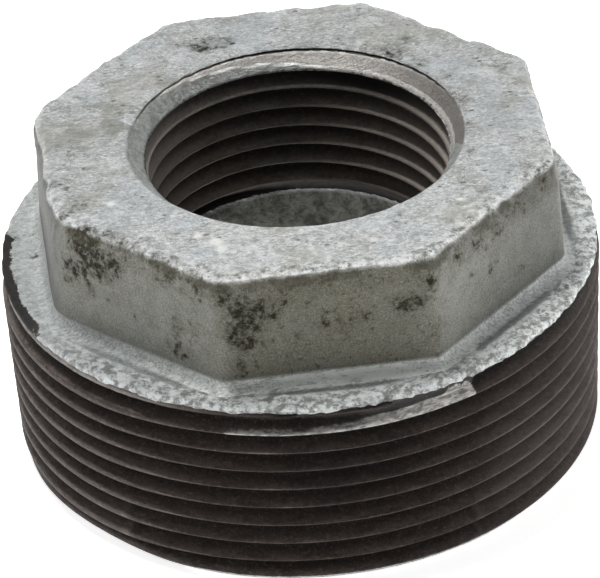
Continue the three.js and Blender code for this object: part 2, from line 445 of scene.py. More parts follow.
def head(lip_radius):
    """Top face out to the octagon, its edge and the flats."""
    waver = (0.26 * noise_a.fbm(circle_points(theta, 7, 9), 3)
             + 0.10 * noise_c.fbm(circle_points(theta, 22, 4), 2))
    outline = octagon(HEAD_HALF_FLATS + waver, np.maximum(CORNER_RADIUS, 1.8) + 0.4)
    for s in fractions(17):
        skin.loft(lip_radius + (outline - lip_radius) * s,
                  TOP_Z - 0.03 + 0.012 * math.sin(math.pi * s), "top",
                  centre=BORE_AXIS * 0.5 * (1 - s))
    # crisp along the front flats, rounded at the back and sides
    azimuth = about_front(deg)
    crisp = smooth(-170, -150, azimuth) * smooth(-8, -26, azimuth)
    for i, ((sharp, sharp_z), (soft, soft_z)) in enumerate(zip(SHARP_EDGE, SOFT_EDGE)):
        fade_out = 1 - i / 7.0
        half_flats = soft + (sharp - soft) * crisp + waver * fade_out
        height = soft_z + (sharp_z - soft_z) * crisp
        skin.loft(octagon(half_flats, CORNER_RADIUS + 0.4 * fade_out), height, "edge")
    for s in fractions(14):
        half_flats = HALF_FLATS_TOP + (HALF_FLATS - HALF_FLATS_TOP) * s
        skin.loft(octagon(half_flats, CORNER_RADIUS),
                  FLAT_HIGH_Z + (FLAT_LOW_Z - FLAT_HIGH_Z) * s, "flat")


def shoulder_height(radius):
    """A shallow trough runs along the middle of each flat."""
    outward = radius * np.cos(np.radians(FACET))
    mid_flat = (smooth(17.0, 9.0, FACET) * (1 - 0.80 * hump(deg, 5.0, 52.0))
                * (1 - 0.35 * hump(deg, -45.0, 20.0)))
    trough = np.exp(-((outward - 27.0) / 0.50) ** 2) * mid_flat
    return RIM_Z - 0.06 * smooth(27.6, 26.6, outward) - 0.24 * trough


# Rolled edge of the shoulder: outward from RIM_INNER, up from RIM_Z
RIM = ((0.20, -0.03), (0.38, -0.11), (0.50, -0.25), (0.54, -0.45), (0.50, -0.62))


def shoulder():
    """Fillet, shoulder, rim and the underside; returns the top ring of the thread."""
    start = octagon(HALF_FLATS, CORNER_RADIUS)
    end = octagon(HALF_FLATS + FILLET, CORNER_RADIUS + FILLET)
    end = np.minimum(end, RIM_RADIUS - 1.1)
    end_z = shoulder_height(end)
    for s in fractions(5):
        turn = s * math.pi / 2
        skin.loft(start + (end - start) * (1 - math.cos(turn)),
                  FLAT_LOW_Z + (end_z - FLAT_LOW_Z) * math.sin(turn), "fillet")
    for s in fractions(11):
        radius = end + (RIM_INNER - end) * s
        skin.loft(radius, shoulder_height(radius), "shoulder")
    waver = (0.10 * noise_c.fbm(circle_points(theta, 26, 0), 3)
             + 0.05 * noise_b.fbm(circle_points(theta, 60, 0), 2))
    for outward, rise in RIM:
        share = outward / 0.54
        skin.loft(RIM_INNER + outward + 0.7 * waver * share, RIM_Z + rise + waver * share, "rim")
    return skin.loft(np.minimum(radius_at(outer, THREAD_TOP_Z), RIM_RADIUS - 0.25),
                     THREAD_TOP_Z + 0.6 * waver, "male", depth=0.6)


def male_thread(top_ring):
    """Outer thread and the flat end below it."""
    radius = radius_at(outer, END_CHAMFER_Z)
    low = skin.ring(np.minimum(radius, end_radius + 0.34), END_CHAMFER_Z, "male", depth=0.15)
    skin.helix(outer, low, END_CHAMFER_Z, top_ring, THREAD_TOP_Z, "male")
    skin.last = low
    for outward, rise in ((0.08, 0.12), (-0.08, 0.02)):
        skin.loft(np.minimum(radius, end_radius + outward), BASE_Z + rise, "end")
    for s in fractions(5):
        skin.loft(np.minimum(radius, end_radius - 0.08) * (1 - s) + CAVITY_MOUTH * s,
                  BASE_Z + 0.02 * (1 - s), "end")


# Hollow below the bore, going up: radius, height above the base
CAVITY = ((24.15, 0.12), (24.05, 0.6), (23.9, 1.4), (23.6, 2.5), (23.2, 3.6), (22.6, 4.8),
          (21.8, 6.0), (20.8, 6.9), (19.5, 7.6), (18.2, 8.1), (17.1, 8.7), (16.2, 9.5),
          (15.4, 10.4), (14.9, 11.3))

bore_start = bore()
head(mouth())
male_thread(shoulder())
for cavity_radius, rise in CAVITY:
    skin.loft(cavity_radius, BASE_Z + rise, "cavity",
              centre=BORE_AXIS * float(smooth(7.0, 12.0, rise)))
skin.bridge(bore_start)

# drop vertices that no face uses
used = np.zeros(len(skin.points), bool)
for face in skin.faces:
    used[face] = True
renumber = np.cumsum(used) - 1
coords = np.array(skin.points)[used]
zone_ids = np.array(skin.zones)[used]
depths = np.array(skin.depths)[used]

mesh = bpy.data.meshes.new("bushing_casting")
mesh.from_pydata((coords * MM).tolist(), [],
                 [[int(renumber[v]) for v in face] for face in skin.faces])
mesh.validate(verbose=False)
mesh.update()

# ------------------------------------------------------ displacement (casting)
normals = np.empty(len(mesh.vertices) * 3)
mesh.vertex_normals.foreach_get("vector", normals)
normals = normals.reshape(-1, 3)

z = coords[:, 2]
radius = np.hypot(coords[:, 0], coords[:, 1])
azimuth = np.degrees(np.arctan2(coords[:, 1], coords[:, 0]))
bore_azimuth = np.degrees(np.arctan2(coords[:, 1] - BORE_AXIS[1], coords[:, 0] - BORE_AXIS[0]))
bore_radius = np.hypot(coords[:, 0] - BORE_AXIS[0], coords[:, 1] - BORE_AXIS[1])
facet = facet_angle(azimuth)
outward = radius * np.cos(np.radians(facet))        # along the nearest flat's normal


def zone(*names):
    return np.isin(zone_ids, [ZONES.index(name) for name in names])


def near(place, spread):
    """1 at a place (x, y or x, y, z), falling to 0 around it."""
    return np.exp(-((coords[:, :len(place)] - place) ** 2).sum(1) / spread ** 2)


in_male, in_female, in_fillet, in_cone = map(zone, ("male", "female", "fillet", "chamfer"))
cast = zone("top", "edge", "lip")
head_edge = zone("top", "edge")
low_parts = zone("shoulder", "rim")
ridged = coords * np.array([0.55, 1.35, 1.0])       # the zinc ran in ridges across the head
calm = 1.0 - 0.75 * hump(azimuth, 180.0, 34.0, power=4)
outer_rim = smooth(27.3, 28.2, radius)
back_cone = in_cone * smooth(60, 110, bore_azimuth)

# Relief: where, noise, sample points, octaves, height
RELIEF = (
    (cast, noise_a, coords / 5.2, 3, 0.080),
    (cast, noise_b, ridged / 1.15 + 7, 3, 0.065),
    (zone("edge") * smooth(33.4, 32.9, z) * smooth(31.4, 32.4, z), noise_d, coords / 1.1, 2, 0.07),
    (head_edge * smooth(22.6, 24.0, outward) * smooth(32.6, 33.1, z),
     noise_a, coords / 2.1 + 3, 2, 0.12),
    (zone("flat"), noise_c, coords / 6.0, 2, 0.05),
    (zone("flat"), noise_b, coords / 1.6, 2, 0.014),
    (in_fillet, noise_c, coords / 3.2, 3, 0.08),
    (in_fillet, noise_b, coords / 1.0, 3, 0.055),
    (low_parts, noise_c, coords / 2.6, 2, 0.05),
    (low_parts, noise_b, coords / 0.9, 2, 0.03),
    (low_parts * outer_rim * calm, noise_b, coords / 0.85, 3, 0.18),
    (low_parts * outer_rim * calm, noise_d, coords / 2.1, 2, 0.18),
    (zone("cavity", "bore"), noise_a, coords / 3.5, 3, 0.09),
    (zone("cavity", "bore"), noise_b, coords / 0.9, 2, 0.03),
    (zone("end"), noise_b, coords / 1.4, 2, 0.012),
    (in_cone, noise_c, coords / 1.6, 2, 0.015),
    (back_cone, noise_b, coords / 0.7, 2, 0.035),
    (head_edge * smooth(22.2, 24.6, outward), noise_a, coords / 2.3, 2, 0.15),
    (in_male, noise_a, coords / 7.5, 2, 0.022),
    (in_female, noise_a, coords / 6.0, 2, 0.020),
    (in_male * smooth(19.4, 19.9, z) * smooth(0.5, 0.0, depths), noise_b, coords / 0.8, 2, 0.05),
)
lift = np.zeros(len(coords))
for where, noise_field, points, octaves, amount in RELIEF:
    lift += where * noise_field.fbm(points, octaves) * amount

# Separate bumps and hollows: x, y, z, spread, height
BUMPS = (
    (-19.7, 18.8, 32.6, 1.9, 0.75), (-17.7, 20.3, 32.6, 1.7, 0.22), (-22.1, 16, 32.4, 1.6, -0.16),
    (17.1, 20.4, 32.6, 1.1, -0.3), (15.1, 22, 32.6, 1.6, 0.16), (-7.1, 19, 33.4, 1.5, -0.3),
    (-4.8, 19.4, 33.4, 1.1, -0.18), (-10.1, 18.9, 33.4, 1.4, 0.12), (22.6, 8.2, 33.4, 1.2, -0.2),
    (17, -14.1, 33.4, 0.9, -0.22), (15.3, -11.7, 33.4, 0.8, -0.16), (-9.6, -17.8, 33.4, 1.1, 0.28),
    (-7.9, -19.5, 33.4, 1.3, 0.16), (-11, -16.1, 33.4, 1.2, 0.14), (11.8, 14.2, 33.4, 1.5, -0.14),
    (16.5, 10, 33.4, 0.9, 0.16), (-15.4, 18.4, 33.2, 1.1, -0.14), (-23, 8.5, 32.9, 2.6, -0.16),
    (-16.2, 4.7, 33.4, 3, 0.1), (1.9, 21.8, 33.4, 3, 0.1), (21.8, -10.3, 33.4, 1.4, -0.12),
    (6.4, -21.5, 33.2, 2.4, 0.12), (-19.4, -10, 33.2, 2, 0.14), (-8.8, -25.4, 27.8, 1.3, -0.1),
    (8, -25.4, 28.8, 1.2, -0.13), (-13.1, -22.8, 25, 1.6, 0.1), (-26.6, 2.2, 21.2, 0.5, -0.28),
    (-26.2, 7.6, 21.2, 0.45, -0.25), (-26.6, 6.4, 21.2, 0.4, -0.25), (-28.7, 5.6, 21.2, 0.7, -0.3),
    (-29, -1.8, 21.2, 0.7, -0.26), (10.8, -27.6, 21.2, 0.9, 0.2), (-9.9, -17.4, 33.4, 1, 0.18),
    (-9.2, -19.3, 33.4, 1, 0.14), (-20.2, 17.8, 33.4, 1.6, 0.2), (16.7, 18.7, 33.4, 1, -0.25),
    (13.4, 21.1, 33.4, 1.4, 0.12), (24.5, 9.3, 33.4, 1.6, 0.12), (-14.2, 0.1, 33.4, 2.2, 0.08),
    (2.3, -22.6, 33.4, 2, 0.08), (-20.2, -6.1, 33.4, 1.6, -0.1), (24.9, -0.6, 33.4, 1.4, -0.12),
    (-25.0, -11.2, 24.5, 2.6, -0.22), (-25.0, -11.2, 28.5, 2.8, -0.28),
    (-25.2, -9.6, 32.6, 2.8, -0.30), (-24.8, -4.5, 33.4, 1.6, -0.20), (-25.3, 2.5, 33.4, 1.8, -0.14),
)
bumpy = (1 + 0.35 * noise_c(coords / 0.9)) * zone(
    "top", "edge", "lip", "flat", "fillet", "shoulder", "rim")
for *place, spread, amount in BUMPS:
    lift += amount * near(place, spread) * bumpy

# stay inside the box of the CAD pieces
moved = np.clip(coords + normals * lift[:, None],
                np.array(cad_box[0]) / MM + 0.002, np.array(cad_box[1]) / MM - 0.002)
mesh.vertices.foreach_set("co", (moved * MM).ravel())
mesh.update()
for polygon in mesh.polygons:
    polygon.use_smooth = True


# ------------------------------------------------------------ masks on the mesh
def put(name, values):
    attribute = mesh.attributes.new(name, "FLOAT", "POINT")
    attribute.data.foreach_set("value", np.asarray(values, np.float32))


# bare: distance in mm, above 0 where the iron was cut bare
low_band = smooth(-128, -116, azimuth) * smooth(0, -30, azimuth)    # zinc on the front end chamfer
left_turn = wrap(azimuth - 180) + 180
left_rim = smooth(160, 171, left_turn) * smooth(212, 196, left_turn)
left_bare = (radius - 29.10 - 0.45 * noise_b(coords / 1.1)) * 0.5
bare = np.where(zone("rim"), ZINC_EDGE_Z + 0.02 - z, -1.0)
bare = np.where(in_male, np.clip(ZINC_EDGE_Z + 0.20 - z, 0.2, 1), bare)
bare = np.where(in_male & (z < 0.9), (z - 0.62) * low_band + 0.5 * (1 - low_band), bare)
bare = np.where(zone("end"), 0.5 * (1 - low_band) * smooth(27.0, 28.6, radius) - 0.3, bare)
bare = np.where(in_female,
                np.minimum((FEMALE_TOP + 0.02 - z) * 0.30, z - FEMALE_END + 0.05), bare)
bare = np.where(in_cone, (FEMALE_TOP - z + 0.12) * 0.30, bare)
bare = np.where(zone("bore"), z - FEMALE_END - 0.25, bare)
bare = np.where(low_parts & (left_rim > 0.02),
                np.maximum(bare, left_bare * left_rim - 0.5 * (1 - left_rim)), bare)
put("bare", np.clip(bare, -1, 1))

# painted shade in the bore at its lower end; darker too at the back right below the mouth
put("indark", np.maximum(
    zone("female", "bore") * smooth(FEMALE_END + 1.5, FEMALE_END + 0.7, z),
    0.95 * in_female * hump(bore_azimuth, 54.0, 28.0)
    * smooth(FEMALE_TOP - 3.8, FEMALE_TOP - 1.4, z)
    + 0.30 * in_female * hump(bore_azimuth, 92.0, 30.0)))

# Bright spots on the head: x, y, spread
GLINTS = ((-9.6, -17.8, 0.75), (-9.2, -19.3, 0.6), (-11.2, -16.4, 0.5), (5.5, -20.6, 0.5),
          (14.6, -15.2, 0.4), (-19.0, -9.0, 0.5), (-14.6, -0.6, 0.6))
put("glint", sum(near(place, spread) for *place, spread in GLINTS) * head_edge)
lower_skin = zone("shoulder", "fillet", "rim")
# painted light on the front fillet, which the head shades
put("front_fillet_light", in_fillet * hump(azimuth, -90.0, 26.0))
# painted light on the right of the fillet, shoulder and rim
put("right_side_light", lower_skin * hump(azimuth, -20.0, 48.0))
# painted shade on the left of the fillet, shoulder and rim
put("left_side_shade", lower_skin * hump(azimuth, -168.0, 52.0))
put("depth", depths)
put("inside", zone("female", "bore"))

# Lower limit of the scraped part of the cone: bore azimuth, height
SPLIT = ((-180, 40), (-60, 40), (-5, 31.2), (55, 31.2), (75, 31.75), (100, 32.35),
         (120, 32.70), (140, 32.98), (150, 40), (180, 40))
split = np.interp(bore_azimuth, *zip(*SPLIT))
mouth_skin = zone("chamfer", "lip")
put("scraped", mouth_skin * smooth(-0.12, 0.12, z - split + 0.12 * noise_b(coords / 0.7))
    * smooth(33.2, 33.08, z))
# painted highlight along the ridge on the back of the cone
put("ridge", in_cone * np.exp(-((z - split - 0.04 * noise_b(coords / 1.1)) / 0.13) ** 2)
    * smooth(46, 60, bore_azimuth) * smooth(134, 118, bore_azimuth))
# painted highlight on the lower cone at the right
put("low_cone_highlight", in_cone * smooth(32.0, 31.85, z) * smooth(-25, 0, bore_azimuth)
    * smooth(82, 66, bore_azimuth))
# painted shadow line under the cutter's step
waved_z = z + 0.05 * noise_b(coords / 0.8)
put("step_shadow", mouth_skin * smooth(32.97, 33.06, waved_z) * smooth(33.34, 33.22, waved_z)
    * smooth(16, 26, bore_azimuth) * smooth(150, 126, bore_azimuth)
    * (0.46 + 0.54 * hump(bore_azimuth, 64.0, 40.0)))
put("sparkle", zone("lip", "chamfer", "top") * np.exp(-((bore_radius - 16.9) / 0.5) ** 2)
    * smooth(-28, -12, bore_azimuth) * smooth(30, 14, bore_azimuth))

flat_edge = zone("flat", "edge")
put("flatmask", np.clip(zone("flat") + zone("edge") * smooth(33.25, 32.95, z), 0, 1))
front = smooth(-172, -150, about_front(azimuth)) * smooth(-8, -30, about_front(azimuth))
put("edgegrime", flat_edge * smooth(33.25, 32.95, z) * smooth(31.2, 32.6, z) * front
    * np.clip(0.74 + 0.9 * noise_c.fbm(coords / 2.6, 2), 0.1, 1.2))
put("olive", flat_edge * hump(azimuth, -90.0, 22.8, power=12))
put("valley", zone("shoulder", "fillet") * np.exp(-((outward - 27.0) / 0.58) ** 2)
    * smooth(17.0, 11.0, facet) * (1 - 0.8 * hump(azimuth, 180.0, 30.0)))
put("low", lower_skin)
put("fil", in_fillet)
put("rimmask", low_parts * outer_rim * calm)
put("castwall", zone("bore", "cavity"))
put("cone", in_cone)
put("scrdark", smooth(66, 26, bore_azimuth) * smooth(-60, -20, bore_azimuth))
put("increst", in_female * hump(bore_azimuth, 14.0, 46.0))
# painted light: the front-right flat is lighter next to the front flat and darker towards its right
# end
put("flat_light_gradient", flat_edge * hump(azimuth, -45.0, 23.0, power=6)
    * np.clip((-45.0 - azimuth) / 22.0, -1.0, 1.0) * 0.30)
# painted light on the right and left walls of the bore
put("bore_side_light", hump(bore_azimuth, 6.0, 42.0) + 1.1 * hump(bore_azimuth, 176.0, 46.0))
# painted shade on the left flat
put("left_flat_shade", flat_edge * hump(azimuth, 180.0, 23.0, power=10))
# 1 towards the front of the head, which is painted lighter there
put("front_light", cast * smooth(4.0, -20.0, coords[:, 1]))
# the front top edge, painted as a highlight
put("edge_highlight", head_edge * smooth(22.9, 24.0, outward) * smooth(33.0, 33.25, z) * front)
put("dull", cast * np.clip(hump(azimuth, 165.0, 32.0) + 0.6 * hump(azimuth, 30.0, 26.0)
                           + 0.5 * hump(azimuth, 96.0, 22.0), 0, 1))

tear = tear_amount(azimuth)
torn_crest = TORN_CREST_Z + PITCH * (azimuth + 90.0) / 360.0
tear_top = torn_crest + 1.40 * tear
# the height limits vary by vertex
put("torn", smooth(0.03, 0.09, tear) * smooth(torn_crest - 0.26, torn_crest - 0.12, z)
    * smooth(tear_top + 0.34, tear_top - 0.14, z) * in_male)
put("land", in_male * smooth(19.4, 19.8, z) * smooth(0.25, 0.05, depths)
    * smooth(-112, -140, about_front(azimuth)))

# Lighter or darker parts of the outer thread: worn streaks and spots, painted light over the right
# side, painted shade over the front and in the groove under the zinc edge; azimuth, z, half width
# (deg), half height, amount
TONE_AND_LIGHT = (
    (-160, 10.0, 25, 15.0, 0.06), (-141, 3.5, 10, 3.2, 0.35), (-150, 12.5, 8, 1.6, 0.30),
    (-128, 11.8, 7, 1.0, 0.40), (-122, 6.8, 8, 1.0, 0.30), (-108, 15.9, 5, 0.5, 0.45),
    (-104, 15.9, 3.2, 0.35, 0.8), (-103, 11.6, 2.6, 0.35, 0.75), (-100, 9.4, 3.0, 0.4, 0.5),
    (-96, 5.0, 3.0, 0.4, 0.4), (-134.6, 3.2, 1.2, 2.6, 0.55), (-132.4, 3.2, 1.2, 2.6, -0.45),
    (-63.5, 3.6, 0.7, 2.8, -0.5), (-61.8, 3.6, 0.8, 2.6, 0.45), (-90, 13.0, 26, 6.0, -0.26),
    (-62, 19.95, 26, 0.5, -0.9), (-44, 8.0, 12, 6.0, 0.10), (-12, 10.0, 26, 14.0, 0.66),
    (-52, 9.0, 16, 12.0, 0.34), (-90, 2.0, 34, 1.6, -0.06), (-118, 14.2, 4, 0.6, 0.35),
    (-70, 15.0, 6, 0.5, 0.25),
)
tone_and_light = sum(amount * np.exp(-(wrap(azimuth - at) / wide) ** 2 - ((z - at_z) / tall) ** 2)
           for at, at_z, wide, tall, amount in TONE_AND_LIGHT)
put("tone_and_light", tone_and_light * in_male - 0.55 * left_rim * low_parts)

# Dirt spots on three planes; the last two columns are always spread and strength
FRONT_DIRT_Y = -25.4
FRONT_DIRT = (      # x, z on the front flat
    (-8.3, 29.6, 1.3, 1), (-9.1, 27.5, 1.1, 1), (-7.6, 30.6, 0.9, 0.7), (-6.6, 29.1, 1, 0.8),
    (-7.4, 27.8, 0.9, 0.8), (-5.3, 30.4, 1, 0.7), (-8.4, 26.1, 1, 0.7), (-6.5, 26, 0.8, 0.5),
    (-9, 31.7, 1.2, 0.8), (-0.6, 32.2, 1.3, 0.6), (0.4, 29.2, 0.7, 0.45), (-0.7, 28.1, 0.8, 0.6),
    (2.8, 27.9, 0.9, 0.55), (3.7, 28.2, 0.7, 0.5), (7.8, 28.8, 1.05, 1), (6.8, 29.3, 0.8, 0.7),
    (9, 29.2, 0.8, 0.5), (10, 31.8, 1.4, 0.7), (10.6, 30, 0.9, 0.55), (10.6, 25.6, 1.5, 0.5),
    (1.2, 26.6, 1.6, 0.25), (-3.7, 31, 0.8, 0.4), (-2.5, 26.7, 1.2, 0.25), (5.2, 24.3, 3, 0.22),
    (-4.4, 23.8, 2.2, 0.3), (-8.7, 23.8, 1.4, 0.55), (4.5, 32.1, 1.3, 0.35), (-6.2, 29.9, 0.5, 0.8),
    (-5.1, 29, 0.6, 0.8), (-4.2, 30.1, 0.5, 0.7), (-4.3, 31.5, 0.6, 0.6), (-6.2, 30.8, 0.5, 0.7),
    (-1.7, 30.1, 0.5, 0.6), (-1.2, 30.9, 0.35, 0.5), (-0.1, 27.9, 0.5, 0.6), (1.2, 27.8, 0.45, 0.5),
    (2.4, 27.5, 0.4, 0.5), (-3.2, 28.5, 0.35, 0.5), (-4.5, 27.8, 0.35, 0.5),
    (-2.6, 26.7, 0.35, 0.45), (-7.6, 26.9, 0.5, 0.7), (-6.3, 27.8, 0.45, 0.6), (-8, 26.1, 0.4, 0.7),
    (9, 28.9, 0.5, 0.7), (9.5, 29.5, 0.3, 0.4), (6.2, 31.6, 0.6, 0.45), (10.3, 31, 0.5, 0.6),
    (10.1, 29, 0.4, 0.5), (11.5, 27.9, 0.4, 0.5), (11.3, 26.8, 0.4, 0.6), (11, 23.6, 0.5, 0.5),
    (3.3, 31.9, 0.6, 0.4), (1, 30.7, 0.3, 0.35), (2.4, 30.1, 0.35, 0.35), (-8.5, 23.6, 0.5, 0.7),
    (-1.9, 24.3, 0.4, 0.3), (-3.3, 25.1, 0.6, 0.25),
)
HEAD_DIRT_Z = 33.4
HEAD_DIRT = (       # x, y on the top face
    (-7.1, 18.9, 1.6, 0.75), (-4.6, 19.4, 1.4, 0.6), (-9.1, 19.1, 1.2, 0.35), (22.8, 8.2, 1.5, 0.45),
    (17, -14.1, 0.9, 0.75), (15.4, -11.7, 0.9, 0.5), (11.9, 14.1, 1.5, 0.42),
    (21.8, -10.2, 1.3, 0.4), (-16.4, 7.7, 0.9, 0.4), (9.2, -18, 1.4, 0.28), (5.8, -21.5, 1.4, 0.22),
    (4, 17, 1.2, 0.4), (7.1, 16.9, 1.2, 0.42), (9.9, 15.3, 1.3, 0.5), (12.3, 13.4, 1.3, 0.5),
    (14.5, 11.1, 1.2, 0.5), (16.5, 7.5, 1.1, 0.5), (17.6, 2.9, 1.1, 0.5), (17.7, -1.9, 1.1, 0.45),
    (17.3, -6.6, 1, 0.4), (-20.6, 11.5, 0.5, 0.7), (-22.2, 0.9, 0.6, 0.6), (-17.9, 5.5, 0.5, 0.6),
    (-15.2, 7.6, 0.45, 0.6), (-16.7, 10.5, 0.4, 0.5), (13.7, 16.1, 0.9, 0.5), (17.4, 16.9, 0.9, 0.4),
    (11.4, -15.5, 0.7, 0.4), (22.1, -5.7, 0.8, 0.35), (8.4, -16.4, 0.7, 0.35),
    (-10.3, -14.6, 0.8, 0.3), (-4.9, -22.3, 0.8, 0.25), (-10.1, 5.4, 0.5, 0.4),
    (-20, -4.3, 0.5, 0.35), (17.1, -16.7, 0.8, 0.5), (24.2, -2.4, 0.8, 0.35),
    (-15.2, -9.9, 0.5, 0.35), (-24.1, -9.9, 0.8, 0.5), (-24.4, -4.3, 1.2, 0.4),
)
SHOULDER_DIRT_Z = 21.2
SHOULDER_DIRT = (   # x, y on the shoulder
    (-26.7, 2.2, 0.36, 1.2), (-26.1, 7.6, 0.33, 1.2), (-26.5, 6.4, 0.33, 1), (-28.8, 5.9, 0.9, 0.9),
    (-29.2, 2.3, 0.8, 0.7), (-29.2, -1.8, 0.8, 0.7), (-25, 2.8, 0.4, 0.8), (-10.5, -23.6, 1, 0.45),
    (11.5, -24.4, 0.8, 0.5), (10.9, -27.4, 0.7, 0.55), (-27.2, -8.9, 0.7, 0.35),
    (-25, 1.3, 0.3, 0.7), (-26.8, -6, 0.4, 0.3), (-25.3, -12.1, 0.3, 0.4), (-4.5, -29.5, 0.35, 0.3),
    (10.5, -26.4, 0.3, 0.4), (17.4, -23.2, 0.5, 0.3), (-8.9, -25.9, 0.5, 0.3),
    (21.4, -19.6, 0.4, 0.3),
)
OTHER_DIRT = (      # x, y, z on the oblique flats and round the top edge
    (-23.3, -12.7, 32.2, 1.5, 0.95), (-22, -13.9, 31, 1.4, 1), (-21, -14.9, 29.9, 1.1, 0.85),
    (-23.9, -12, 28.2, 1.2, 0.9), (-22.5, -13.5, 29.3, 1, 0.6), (-22.4, -13.5, 33.1, 1.5, 0.8),
    (-19.6, -16.3, 30.3, 1, 0.75), (-21.8, -14.1, 27.2, 0.9, 0.7), (-20.2, -15.8, 28.8, 0.9, 0.4),
    (-18.1, -17.8, 25.9, 0.5, 0.7), (-14.3, -21.6, 27.6, 0.7, 0.6), (-13.7, -22.2, 26.8, 0.7, 0.7),
    (-12.7, -23.3, 26.5, 0.6, 0.7), (-11.8, -24.1, 27.8, 0.6, 0.6), (-13.5, -22.4, 24.1, 1.1, 0.6),
    (-11.7, -24.2, 25, 0.6, 0.6), (-14.6, -21.4, 24.6, 1.4, 0.45), (-17.2, -18.7, 33.3, 2.6, 0.55),
    (-12.8, -23.1, 32.1, 1.6, 0.8), (-19.9, -15.4, 33.1, 2, 0.6), (-10.7, -25.2, 32.1, 1.4, 0.7),
    (-14.9, -21, 32.7, 1.6, 0.6), (-10.4, -25.5, 28.9, 0.8, 0.35), (14.7, -21.3, 28.5, 0.5, 0.9),
    (16.9, -19, 27.2, 0.55, 0.8), (16.9, -19, 27.9, 0.4, 0.5), (20.2, -15.8, 25.1, 0.5, 0.5),
    (20.7, -15.2, 32, 0.9, 0.8), (19.5, -16.4, 31.7, 1, 0.7), (15.8, -20.1, 31.4, 1.1, 0.8),
    (21.6, -14.3, 32.8, 1.2, 0.7), (13.5, -22.4, 31.8, 1, 0.8), (17.5, -18.4, 31.9, 1.2, 0.55),
    (23.6, -12.4, 32.9, 1.3, 0.7), (12.3, -23.6, 29.4, 0.8, 0.3), (24, -6.2, 33.1, 1, 0.35),
    (-15.4, 18.5, 33.2, 0.8, 0.55), (-21.7, 8.5, 33.2, 0.9, 0.5), (-23.6, -4.6, 32.4, 2.2, 0.45),
    (-24.5, 3.7, 32.1, 2.2, 0.3), (-22.5, -8.5, 33.2, 1.6, 0.5), (9.6, 22.1, 33.2, 1.2, 0.35),
    (-23.6, -12.3, 29, 0.8, 0.9), (-22.4, -13.5, 28.4, 0.6, 0.8), (-23.2, -12.7, 27.1, 0.5, 0.6),
    (-21.6, -14.4, 30.5, 0.7, 0.8), (-20.4, -15.5, 31.1, 0.6, 0.7), (-19.4, -16.5, 31.1, 0.7, 0.8),
    (-21, -15, 28.7, 0.5, 0.7), (-20.4, -15.6, 26.9, 0.4, 0.6), (-22.3, -13.7, 25.7, 0.3, 0.4),
    (-24.4, -11.6, 26.7, 0.5, 0.7), (-24.4, -11.6, 29.1, 0.5, 0.6), (-15.4, -20.5, 31.4, 0.7, 0.6),
    (-14.5, -21.4, 30, 0.3, 0.5), (-14, -21.9, 28.5, 0.35, 0.6), (-13, -22.9, 28, 0.35, 0.6),
    (-14.4, -21.6, 26.3, 0.4, 0.6), (-12.4, -23.5, 27.6, 0.35, 0.6), (-12.9, -23, 25.4, 0.3, 0.5),
    (-14.5, -21.4, 23.7, 0.6, 0.6), (-15, -21, 22.2, 0.5, 0.6), (-16.5, -19.4, 28.7, 0.5, 0.25),
    (-18.3, -17.7, 29, 0.4, 0.3), (-11.5, -24.4, 29.2, 0.35, 0.4), (-12.2, -23.8, 30.8, 0.4, 0.4),
    (-13.6, -22.3, 23.9, 0.25, 0.6), (13.6, -22.3, 30.9, 0.6, 0.5), (16.1, -19.8, 31.5, 0.4, 0.8),
    (16.5, -19.4, 30.3, 0.35, 0.8), (17.7, -18.2, 30.7, 0.5, 0.6), (18.6, -17.3, 30.9, 0.5, 0.6),
    (14.6, -21.4, 30.6, 0.5, 0.5), (19.5, -16.4, 29.8, 0.4, 0.4), (15.7, -20.2, 33.2, 0.6, 0.6),
    (14.4, -21.5, 32.8, 0.6, 0.7), (21, -14.9, 30.7, 0.5, 0.5), (22.3, -13.6, 31.3, 0.6, 0.5),
    (23.9, -12.1, 31.3, 0.6, 0.5), (17.6, -18.3, 27.8, 0.35, 0.7), (20.5, -15.4, 24.7, 0.4, 0.6),
    (20.2, -15.7, 26.2, 0.3, 0.3), (19.4, -16.6, 27.8, 0.3, 0.3), (12.5, -23.4, 30.6, 0.5, 0.4),
    (23.4, -12.5, 32.6, 0.6, 0.6), (25.2, -10.8, 30.3, 0.5, 0.4),
)
spots = [(at_x, FRONT_DIRT_Y, *rest) for at_x, *rest in FRONT_DIRT]
for plane_z, table in ((HEAD_DIRT_Z, HEAD_DIRT), (SHOULDER_DIRT_Z, SHOULDER_DIRT)):
    spots += [(at_x, at_y, plane_z, *rest) for at_x, at_y, *rest in table]
dirt = sum(strength * near(place, spread) for *place, spread, strength in [*spots, *OTHER_DIRT])
put("grime", np.clip(dirt, 0, 1.6))


# --------------------------------------------------------------- node helpers
class Field:
    """An output socket; +, - and * add math nodes."""

    def __init__(self, socket):
        self.socket = socket

    def __add__(self, other):
        return calc("ADD", self, other)

    def __radd__(self, other):
        return calc("ADD", other, self)

    def __sub__(self, other):
        return calc("SUBTRACT", self, other)

    def __rsub__(self, other):
        return calc("SUBTRACT", other, self)

    def __mul__(self, other):
        return calc("MULTIPLY", self, other)


def open_tree(owner):
    """Empty the owner's node tree; the helpers below add to the tree opened last."""
    global tree
    owner.use_nodes = True
    tree = owner.node_tree
    tree.nodes.clear()


def add_node(kind, feeds, **settings):
    """A new node; feeds gives a Field or a constant per input."""
    node = tree.nodes.new(kind)
    for name, value in settings.items():
        setattr(node, name, value)
    for key, value in feeds.items():
        if isinstance(value, Field):
            tree.links.new(value.socket, node.inputs[key])
        else:
            node.inputs[key].default_value = value
    return node


def field(kind, feeds, output=0, **settings):
    return Field(add_node(kind, feeds, **settings).outputs[output])


def calc(operation, *values, clamp=False):
    return field("ShaderNodeMath", dict(enumerate(values)), operation=operation, use_clamp=clamp)


